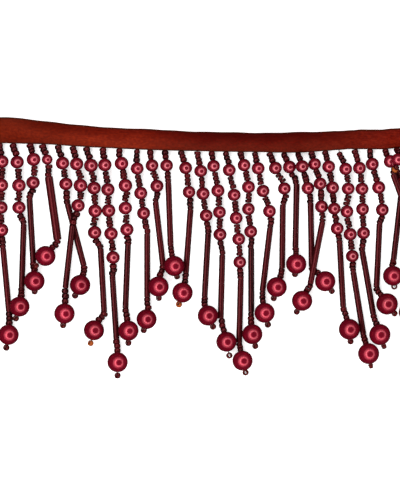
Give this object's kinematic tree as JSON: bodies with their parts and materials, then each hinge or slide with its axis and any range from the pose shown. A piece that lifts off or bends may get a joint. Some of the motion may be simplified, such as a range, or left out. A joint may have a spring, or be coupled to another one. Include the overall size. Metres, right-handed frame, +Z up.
{
  "type": "passementerie trim",
  "caption": "Cut length of beaded fringe: a satin ribbon heading, part rolled, with strands of pearls, seed and bugle beads in a zigzag hem, laid flat.",
  "frame": {"origin": "centre of the bounding box, on the level that the trim lies on", "axes": "+X along the ribbon, +Y from the strands towards the ribbon, +Z up from the surface that the trim lies on"},
  "size_m": [0.1736, 0.1012, 0.01],
  "materials": {
    "satin": "woven satin ribbon, red-brown, soft sheen, thin dark edges",
    "pearl_beads": "crimson pearl lacquer on round beads, with dark maroon seed beads and bugle beads between them",
    "glass_beads": "dark maroon glass seed beads and long bugle beads, nearly opaque and glossy",
    "thread": "twisted dark red sewing thread and woven header tape"
  },
  "bodies": {
    "root": {"ribbon": "satin", "beaded_fringe": "pearl_beads"}
  },
  "joints": []
}
